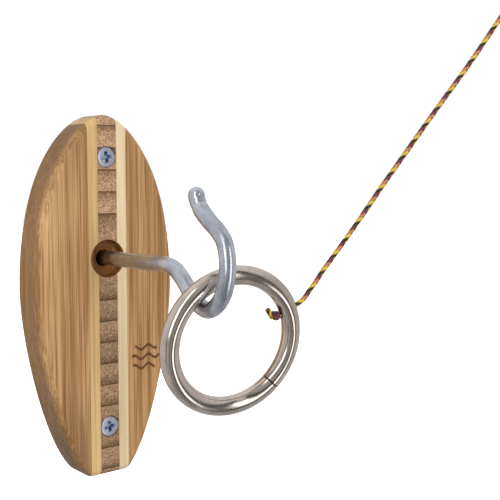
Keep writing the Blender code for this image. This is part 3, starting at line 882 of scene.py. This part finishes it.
def makeBoard():
    whole = newObject("whole_board", makeBlank())
    for cutter in holeCutters():
        booleanCut(whole, cutter)
    marked, straw, cream = (makeBamboo(n) for n in ("markedBamboo", "strawBamboo", "creamBamboo"))
    plain, endGrain = makeBamboo("caramelBamboo"), makeEndGrain()
    half, joint, beyond = strips["block"] / 2, strips["joint"] / 2, strips["beyond"]
    outer, reach = half + strips["light"], board["halfWidth"] + beyond
    joints = blockJoints()
    top, bottom = joints[0], joints[-1]
    pieces = {
        "left_panel": ((-reach, bottom), (-outer - joint, top), plain, "bamboo"),
        "left_light_strip": ((-outer + joint, bottom), (-half - joint, top), straw, "pale_bamboo"),
        "right_light_strip": ((half + joint, bottom), (outer - joint, top), cream, "pale_bamboo"),
        "right_panel": ((outer + joint, bottom), (reach, top), marked, "bamboo"),
    }
    for number, (upper, lower) in enumerate(zip(joints, joints[1:]), start=1):
        low, high = (-half + joint, lower + joint), (half - joint, upper - joint)
        pieces[f"end_grain_block_{number:02d}"] = (low, high, endGrain, "dark_bamboo")
    for name, (low, high, material, slot) in pieces.items():
        piece = newObject(name.replace("_block", "") + "_wood", whole.data.copy())
        front = -board["thick"] - beyond
        slab = boxMesh((low[0], front, low[1]), (high[0], beyond, high[1]))
        booleanCut(piece, slab, "INTERSECT")
        mesh = piece.data
        dress(mesh, material, 30)
        if material is endGrain:
            span = (high[1] - low[1]) * mm
            rise = [(v.co.z - low[1] * mm) / span for v in mesh.vertices]
            above = low[1] > -blocks["hookBlock"]
            addFloat(mesh, "skin", rise if above else [1 - r for r in rise])
            tone = blocks["upperTone" if above else "lowerTone"]
            tone += blocks["toneSpread"] * ((int(name[-2:]) * 37) % 11) / 10
            addFloat(mesh, "tone", [tone] * len(mesh.vertices))
        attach(piece, boardBody)
        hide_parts(name)
    bpy.data.objects.remove(whole, do_unlink=True)
    for mesh in list(bpy.data.meshes):
        if mesh.users == 0:
            bpy.data.meshes.remove(mesh)


makeBoard()
print("board laminated")


# hook: one bent rod, zinc plated
hook = {
    "wire": 5.34, "sides": 40, "spacing": 0.5, "proud": 0.5, "crease": 6.2, "groove": 0.09,
    "tipWire": 0.985,
    "route": [
        (-10.7, 0.0), (0.0, 0.2), (18.0, 0.4), (30.0, 0.6), (37.0, 0.7), (42.5, -0.3),
        (46.8, -3.1), (50.4, -6.5), (55.0, -10.3), (60.4, -12.0), (65.0, -10.2), (68.5, -6.4),
        (70.3, -1.6), (70.8, 2.7), (70.3, 7.0), (68.7, 10.6), (65.5, 13.5), (61.6, 16.0),
        (57.7, 19.1), (55.3, 22.4), (54.4, 26.0),
    ],
}
platings = {  # "deep": painted shade, the darker colour painted below a depth in the board, and where it fades in
    "zincPlate": {
        "colour": (0.66, 0.69, 0.76), "rough": 0.19, "spread": 0.1, "lineDepth": 0.014,
        "tint": (0.37, 0.395, 0.46), "deep": (-17.5, -12.5, (0.012, 0.009, 0.007))},
    "blueZincPlate": {
        "colour": (0.62, 0.66, 0.80), "rough": 0.24, "spread": 0.1, "lineDepth": 0.01},
    "screwHeadPlate": {
        "colour": (0.68, 0.71, 0.82), "rough": 0.26, "spread": 0.1, "lineDepth": 0.01,
        "deep": (-13.6, -12.6, (0.32, 0.46, 0.74))},
    "nickelPlate": {
        "colour": (0.72, 0.635, 0.575), "rough": 0.08, "spread": 0.06, "lineDepth": 0.004,
        "barLength": 2 * math.pi * ring["middle"] - ring["slit"], "barEnds": (0.34, 0.14)},
}


def makeMetal(name):
    plating = platings[name]
    colour, rough, spread = (plating[key] for key in ("colour", "rough", "spread"))
    material, tree, shader = newMaterial(name, Metallic=1.0)
    point = objectPoint(tree)
    wire = addNode(tree, "ShaderNodeUVMap", {"uv_map": "wire"}).outputs[0]
    wear = useGroup(tree, wearGroup, Point=point, Wire=wire)
    darker = tuple(c * 0.72 for c in colour)
    tint = plating.get("tint", darker)
    plated = blendColour(tree, times(tree, wear["Smudge"], 0.8), colour, tint)
    plated = blendColour(tree, times(tree, wear["Pits"], 0.25), plated, darker)
    if "barLength" in plating:  # the bar's two ends darken, where they meet
        half = plating["barLength"] / 2
        fromMiddle = calc(tree, "ABSOLUTE", minus(tree, splitUp(tree, wire)[1], half))
        seam = remap(tree, fromMiddle, *(half - left for left in plating["barEnds"]))
        plated = blendColour(tree, seam, plated, (0.05, 0.038, 0.03))
    # painted shadow and reflection: the hook's shank is painted almost black as it goes into the
    # board, and each screw's cross recess is painted a darker blue
    if "deep" in plating:
        start, end, paintedShadeColour = plating["deep"]
        sunk = remap(tree, splitUp(tree, point)[1], start * mm, end * mm, 0.0, 0.97)
        plated = blendColour(tree, sunk, plated, paintedShadeColour)
    plug(shader.inputs["Base Color"], plated)
    rubbed = calc(tree, "MULTIPLY_ADD", wear["Lines"], spread, rough)
    rubbed = calc(tree, "MULTIPLY_ADD", wear["Smudge"], spread, rubbed)
    plug(shader.inputs["Roughness"], rubbed)
    addBump(tree, shader, wear["Lines"], plating["lineDepth"], 0.6)
    return material


zinc, blueZinc, headZinc, nickel = (makeMetal(name) for name in platings)


def makeHook():
    line = [(0, -board["thick"] * mm - reach * mm, z * mm) for reach, z in hook["route"]]
    line = smoothRoute(line, hook["spacing"] * mm)
    line.append(line[-1] + (line[-1] - line[-2]).normalized() * hook["proud"] * mm)
    line, radii = domedEnd(line, hook["wire"] / 2 * mm)
    left = 0.0  # length left to the tip: the crease is a groove, and the rod is thinner past it
    for i in range(len(line) - 1, 0, -1):
        left += (line[i] - line[i - 1]).length
        past = left / mm - hook["crease"]
        step = min(1.0, max(0.0, past / 0.9))
        groove = math.exp(-((past - 0.2) / 0.45) ** 2)
        tip = hook["tipWire"]
        radii[i - 1] *= (tip + (1 - tip) * step) - hook["groove"] * groove
    piece = newObject("bent_hook", rodMesh("hook_rod", line, radii, hook["sides"]))
    dress(piece.data, zinc, 60)
    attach(piece, boardBody)
    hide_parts("hook")


makeHook()
print("hook bent")


# screws and ceiling eye: turned heads and rolled threads
screw = {
    "head": 3.8, "headDeep": 2.6, "shank": 1.9, "length": 30.0, "point": 5.0, "pitch": 1.55,
    "sunk": 0.25, "threadDeep": 0.42, "rib": 0.3, "recessDeep": 1.9,
    "slots": ((8, 2.45, 0.72), (98, 2.45, 0.72), (53, 1.25, 0.3), (143, 1.25, 0.3)),
}
eye = {
    "wire": 2.6, "radius": 6.5, "shank": 20.0, "point": 4.0, "pitch": 1.3, "threadDeep": 0.28,
    "rib": 0.22, "opening": 122, "bendStep": 12, "bendPoints": 25, "neck": 1.2,
}


def makeThreadTree():
    tree, sockets, given = geometryTree("rolledThread", {
        "Turns": "Float", "Length": "Float", "Core": "Float", "Rib": "Float"})
    helix = addNode(tree, "GeometryNodeCurveSpiral", Resolution=36, Rotations=given["Turns"],
                    Height=given["Length"], Start_Radius=given["Core"], End_Radius=given["Core"])
    profile = addNode(tree, "GeometryNodeCurvePrimitiveCircle", Resolution=8, Radius=given["Rib"])
    rib = sweep(tree, helix.outputs[0], profile.outputs[0])
    both = addNode(tree, "GeometryNodeJoinGeometry")
    for part in (rib, given["Geometry"]):
        tree.links.new(part, both.inputs[0])
    finishTree(tree, both.outputs[0], given["Finish"])
    return tree, sockets


threadTree, threadSockets = makeThreadTree()


def threaded(name, sizes, length, bottom, place):
    # it is turned on the origin with its point up, and then moved to its place
    core, point = sizes["core"], sizes["point"]
    profile = [(0.02, length), (core, length - point), (core, bottom), (0, bottom)]
    piece = newObject(name, turnedMesh(profile, 32))
    ribbed = length - point * 0.9
    addTree(piece, threadTree, threadSockets, {
        "Turns": ribbed / sizes["pitch"], "Length": ribbed * mm, "Core": core * mm,
        "Rib": sizes["rib"] * mm, "Finish": blueZinc})
    bakeModifiers(piece)
    piece.data.transform(place)
    dress(piece.data, blueZinc, 40)
    return piece


def makeScrewHead():
    r, deep, sunk = screw["head"], screw["headDeep"] + 0.3, screw["sunk"]
    head = newObject("screw_head", turnedMesh([
        (0, -sunk), (r - 0.9, -sunk), (r - 0.45, -sunk - 0.06), (r - 0.12, -sunk - 0.25),
        (r, -sunk - 0.55), (r - 0.05, -sunk - 0.75), (screw["shank"] - 0.3, -deep), (0, -deep),
    ], 72))
    for turn, reach, wide in screw["slots"]:
        low = (-reach, -wide, -sunk - screw["recessDeep"])
        slot = boxMesh(low, (reach, wide, 0.5))
        for v in slot.vertices:
            if v.co.z < 0:  # the recess narrows downwards
                v.co.x *= 0.45
                v.co.y *= 0.7
        slot.transform(Matrix.Rotation(math.radians(turn), 4, "Z"))
        booleanCut(head, slot)
    return head


def makeScrews():
    head = makeScrewHead()
    sizes = {**screw, "core": screw["shank"] - screw["threadDeep"]}
    length = screw["length"] - screw["headDeep"] - 1.0
    for name, height in screwHeights.items():
        seat = Matrix.Translation((0, (-board["thick"] + screw["headDeep"]) * mm, height * mm))
        inward = seat @ Matrix.Rotation(-math.pi / 2, 4, "X")
        shank = threaded(name + "_shank", sizes, length, -0.6, inward)
        top = newObject(name + "_head", head.data.copy())
        top.data.transform(Matrix.Translation((0, -board["thick"] * mm, height * mm)) @ intoWall)
        dress(top.data, headZinc, 30)
        for piece in (shank, top):
            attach(piece, boardBody)
        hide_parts(name)
    bpy.data.objects.remove(head, do_unlink=True)


def makeEye():
    radius, wire = eye["radius"], eye["wire"]
    middle = eyeWire + Vector((0, 0, radius * mm))
    turns = [
        math.radians(eye["opening"] + eye["bendStep"] * i) for i in range(eye["bendPoints"])]
    line = [middle + Vector((0, math.cos(t), math.sin(t))) * radius * mm for t in turns]
    neck = middle + Vector((0, 0, (radius + wire * eye["neck"]) * mm))
    line = smoothRoute(line + [neck, neck + Vector((0, 0, 2 * mm))], 0.4 * mm)
    bend = newObject("eye_bend", rodMesh("eye_bend", line, [wire / 2 * mm] * len(line), 32))
    dress(bend.data, zinc, 50)
    sizes = {**eye, "core": wire / 2 - eye["threadDeep"]}
    shank = threaded("eye_shank", sizes, eye["shank"], 0, Matrix.Translation(neck))
    for piece in (bend, shank):
        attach(piece, boardBody)
    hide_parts("ceiling_eye")


makeScrews()
makeEye()
print("screws and eye made")


# ring: a bar bent round to a butt seam, drilled across for the cord

def makeRing():
    middle, wire, chamfer = ring["middle"] * mm, ring["wire"] / 2, ring["chamfer"]
    gap, edge = ring["slit"] * mm / middle, chamfer * mm / middle
    start, span = math.radians(ring["seamAt"]) + gap / 2, 2 * math.pi - gap
    steps = ring["steps"]
    stations = [0, edge] + [span * i / steps for i in range(1, steps)] + [span - edge, span]
    line = [ringCentre + ringDirection(start + s) * middle for s in stations]
    radii = [wire - chamfer] + [wire] * (len(line) - 2) + [wire - chamfer]
    radii = [radius * mm for radius in radii]
    piece = newObject("steel_ring", rodMesh("ring_bar", line, radii, ring["sides"]))
    toAxis = holeDirection.to_track_quat("Z", "Y").to_matrix().to_4x4()
    bore, flare = cord["diameter"] / 2 + ring["holeSpare"], ring["holeFlare"]
    mouth, outside, rim = bore + flare, bore + wire * 0.5 + flare, wire + 0.02
    booleanCut(piece, turnedMesh([
        (0, 2 * wire), (outside, 2 * wire), (mouth, rim), (bore, wire - flare),
        (bore, flare - wire), (mouth, -rim), (outside, -2 * wire), (0, -2 * wire),
    ], 48, Matrix.Translation(ringCentre + holeDirection * middle) @ toAxis))
    dress(piece.data, nickel, 40)
    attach(piece, swingBody)
    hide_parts("ring")


makeRing()
print("ring made")


# floor, light and surroundings
studio = {
    "floor": -0.32, "floorHalf": 6, "floorWhite": 0.92, "floorGlow": 0.75, "background": 1.02,
    # brightness round the room from -X, and from the floor up
    "walls": (0.62, 0.5, 0.36, 0.40, 0.55, 0.6, 0.6, 0.6, 0.62, 0.65, 0.68, 0.66, 0.62),
    "rise": (0.7, 0.85, 0.95, 1.0, 1.1, 1.25, 1.3),
    "bands": [  # bearing, half width, lowest, highest (degrees), brightness
        (-97, 6, -60, 60, 0.09), (-64, 6, -60, 50, 0.13), (-80, 6, -46, 24, 2.3),
        (-128, 7, -70, 20, 0.26), (-153, 6, -8, 50, 3.2), (-166, 4, -40, 50, 0.16),
    ],
    "lights": {  # direction, distance, size (metres), power (watts)
        "front_softbox": ((0.18, -0.98, 0.1), 1.1, (0.5, 0.8), 6.5),
        "top_softbox": ((-0.2, -0.35, 1.0), 1.2, (0.9, 0.7), 4.5),
        "left_softbox": ((-1.0, -0.25, 0.2), 1.3, (0.3, 0.9), 1.6),
    },
}


def makeFloor():
    shape = bmesh.new()
    bmesh.ops.create_grid(shape, x_segments=2, y_segments=2, size=studio["floorHalf"])
    bmesh.ops.translate(shape, vec=(0, 0, studio["floor"]), verts=shape.verts)
    floor = newObject("floor", meshOf(shape, "floor"))
    material, tree, shader = newMaterial(
        "paleFloor", Roughness=0.9, Specular_IOR_Level=0.1, Emission_Color=(1, 1, 1, 1),
        Emission_Strength=studio["floorGlow"])
    grey = noise(tree, inCells(tree, objectPoint(tree), (900, 900, 900)), 1)
    white = studio["floorWhite"]
    plug(shader.inputs["Base Color"], ramp(tree, grey, [(0.0, white), (1.0, white + 0.03)]))
    floor.data.materials.append(material)
    floor.visible_glossy = floor.visible_diffuse = False


def makeLights():
    for name, (direction, distance, size, power) in studio["lights"].items():
        data = bpy.data.lights.new(name, "AREA")
        data.shape = "RECTANGLE"
        data.size, data.size_y = size
        data.energy = power
        light = bpy.data.objects.new(name, data)
        scene.collection.objects.link(light)
        light.visible_camera = light.visible_glossy = False
        place = Vector(direction).normalized() * distance
        turn = place.to_track_quat("Z", "Y").to_matrix().to_4x4()
        light.matrix_world = Matrix.Translation(place) @ turn


def spread(levels):
    return [(i / (len(levels) - 1), level) for i, level in enumerate(levels)]


def makeWorld():
    # a pale studio: white to look at, and shaded from panel to panel where the metal mirrors it
    world = bpy.data.worlds.new("studio")
    scene.world = world
    world.use_nodes = True
    tree = world.node_tree
    tree.nodes.clear()
    x, y, z = splitUp(tree, addNode(tree, "ShaderNodeTexCoord").outputs["Generated"])
    bearing = calc(tree, "ARCTAN2", y, x)
    around = calc(tree, "MULTIPLY_ADD", bearing, 1 / (2 * math.pi), 0.5)
    height = calc(tree, "MULTIPLY_ADD", z, 0.5, 0.5)
    walls = ramp(tree, around, spread(studio["walls"]), "EASE")
    shade = times(tree, walls, ramp(tree, height, spread(studio["rise"]), "EASE"))
    for middle, half, low, high, level in studio["bands"]:
        apart = calc(tree, "ABSOLUTE", minus(tree, bearing, math.radians(middle)))
        inside = fadeOut(tree, apart, math.radians(half), math.radians(half + 2.5))
        bottom, full = (math.sin(math.radians(angle)) for angle in (low - 4, low))
        edge, end = (math.sin(math.radians(angle)) for angle in (high, high + 4))
        tall = times(tree, remap(tree, z, bottom, full), fadeOut(tree, z, edge, end))
        share = times(tree, inside, tall)
        mixed = times(tree, shade, minus(tree, 1.0, share))
        shade = calc(tree, "ADD", mixed, times(tree, share, level))
    rooms = [addNode(tree, "ShaderNodeBackground", Color=(1, 1, 1, 1), Strength=strength)
             for strength in (shade, studio["background"])]
    seen = addNode(tree, "ShaderNodeLightPath").outputs["Is Camera Ray"]
    mixed = fillInOrder(addNode(tree, "ShaderNodeMixShader"), seen, *(r.outputs[0] for r in rooms))
    addNode(tree, "ShaderNodeOutputWorld", Surface=mixed)


makeFloor()
makeWorld()
makeLights()
print("studio lit")
